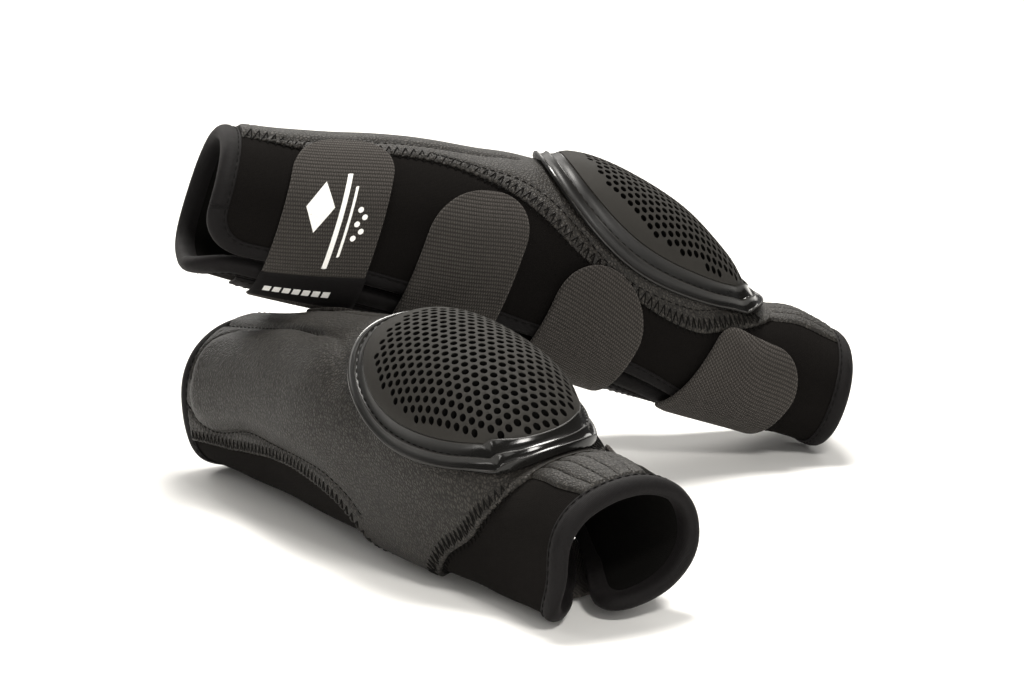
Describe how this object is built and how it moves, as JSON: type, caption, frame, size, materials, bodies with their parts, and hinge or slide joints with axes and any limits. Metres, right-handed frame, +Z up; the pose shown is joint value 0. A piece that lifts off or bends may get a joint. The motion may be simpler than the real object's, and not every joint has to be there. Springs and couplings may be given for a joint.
{
  "type": "pair of horse tendon boots",
  "caption": "Mirror-image pair of closed horse leg boots with a leather back, a domed fetlock guard and fold-over hook-and-loop straps; one boot leans on the other.",
  "frame": {"origin": "centre of the pair's bounding box on the plane both boots lie on", "axes": "+Z up; the left boot's pastern end points to -Y, towards the viewer, and the right boot runs along X with its cannon end raised at -X"},
  "size_m": [0.3216, 0.3604, 0.1654],
  "materials": {
    "neoprene": "matte foamed sheet with a knitted face",
    "leather": "satin pebble grain",
    "foam": "matte soft foam",
    "dome": "matte moulded, perforated",
    "rim": "glossy moulded",
    "binding": "folded tape, stitched",
    "webbing": "fine ribbed weave",
    "hook": "hook-and-loop pile"
  },
  "bodies": {
    "left_boot": {"left_neoprene_shell": "neoprene", "left_cannon_binding": "binding", "left_pastern_binding": "binding", "left_closing_edge_binding": "binding", "left_flap_edge_binding": "binding", "left_leather_cover": "leather", "left_tendon_pad": "foam", "left_stretch_gusset": "leather", "left_dome_cap": "dome", "left_dome_rim": "rim", "left_dome_foam": "foam", "left_strap_anchor_band": "webbing", "left_strap_root_1": "webbing", "left_strap_root_2": "webbing", "left_strap_root_3": "webbing", "left_strap_root_4": "webbing"},
    "left_strap_1": {"left_strap_1": "webbing", "left_hook_patch_1": "hook"},
    "left_strap_2": {"left_strap_2": "webbing", "left_hook_patch_2": "hook"},
    "left_strap_3": {"left_strap_3": "webbing", "left_hook_patch_3": "hook"},
    "left_strap_4": {"left_strap_4": "webbing", "left_hook_patch_4": "hook"},
    "right_boot": {"right_neoprene_shell": "neoprene", "right_cannon_binding": "binding", "right_pastern_binding": "binding", "right_closing_edge_binding": "binding", "right_flap_edge_binding": "binding", "right_leather_cover": "leather", "right_tendon_pad": "foam", "right_stretch_gusset": "leather", "right_dome_cap": "dome", "right_dome_rim": "rim", "right_dome_foam": "foam", "right_strap_anchor_band": "webbing", "right_strap_root_1": "webbing", "right_strap_root_2": "webbing", "right_strap_root_3": "webbing", "right_strap_root_4": "webbing"},
    "right_strap_1": {"right_strap_1": "webbing", "right_hook_patch_1": "hook"},
    "right_strap_2": {"right_strap_2": "webbing", "right_hook_patch_2": "hook"},
    "right_strap_3": {"right_strap_3": "webbing", "right_hook_patch_3": "hook"},
    "right_strap_4": {"right_strap_4": "webbing", "right_hook_patch_4": "hook"}
  },
  "joints": [
    {"name": "right_boot_lift", "type": "slide", "parent": "left_boot", "child": "right_boot", "axis": [0, 0, 1], "range_m": [0, 0.2]},
    {"name": "left_strap_1_fold", "type": "hinge", "parent": "left_boot", "child": "left_strap_1", "pos_m": [-0.07274, 0.07722, 0.01093], "axis": [-0.67, 0.7136, -0.2045], "range_deg": [0, 58]},
    {"name": "left_strap_2_fold", "type": "hinge", "parent": "left_boot", "child": "left_strap_2", "pos_m": [-0.03524, 0.0253, 0.01321], "axis": [-0.6795, 0.7147, -0.1661], "range_deg": [0, 65]},
    {"name": "left_strap_3_fold", "type": "hinge", "parent": "left_boot", "child": "left_strap_3", "pos_m": [-0.0006, -0.02913, 0.01191], "axis": [-0.3272, 0.9243, 0.1966], "range_deg": [0, 62]},
    {"name": "left_strap_4_fold", "type": "hinge", "parent": "left_boot", "child": "left_strap_4", "pos_m": [0.03956, -0.0985, 0.00974], "axis": [-0.11, 0.9123, 0.3945], "range_deg": [0, 48]},
    {"name": "right_strap_1_fold", "type": "hinge", "parent": "right_boot", "child": "right_strap_1", "pos_m": [-0.09913, 0.06789, 0.08753], "axis": [0.9902, -0.0065, -0.1397], "range_deg": [0, 48]},
    {"name": "right_strap_2_fold", "type": "hinge", "parent": "right_boot", "child": "right_strap_2", "pos_m": [-0.03847, 0.0764, 0.06869], "axis": [0.9839, -0.01, -0.1787], "range_deg": [0, 52]},
    {"name": "right_strap_3_fold", "type": "hinge", "parent": "right_boot", "child": "right_strap_3", "pos_m": [0.02093, 0.08894, 0.04679], "axis": [0.7844, 0.4132, -0.4626], "range_deg": [0, 65]},
    {"name": "right_strap_4_fold", "type": "hinge", "parent": "right_boot", "child": "right_strap_4", "pos_m": [0.09392, 0.10784, 0.01951], "axis": [0.5717, 0.5752, -0.5851], "range_deg": [0, 52]}
  ],
  "couplings": [
    {"joint": "left_strap_1_fold", "follows": "right_boot_lift", "rad_per_m": 5}
  ]
}
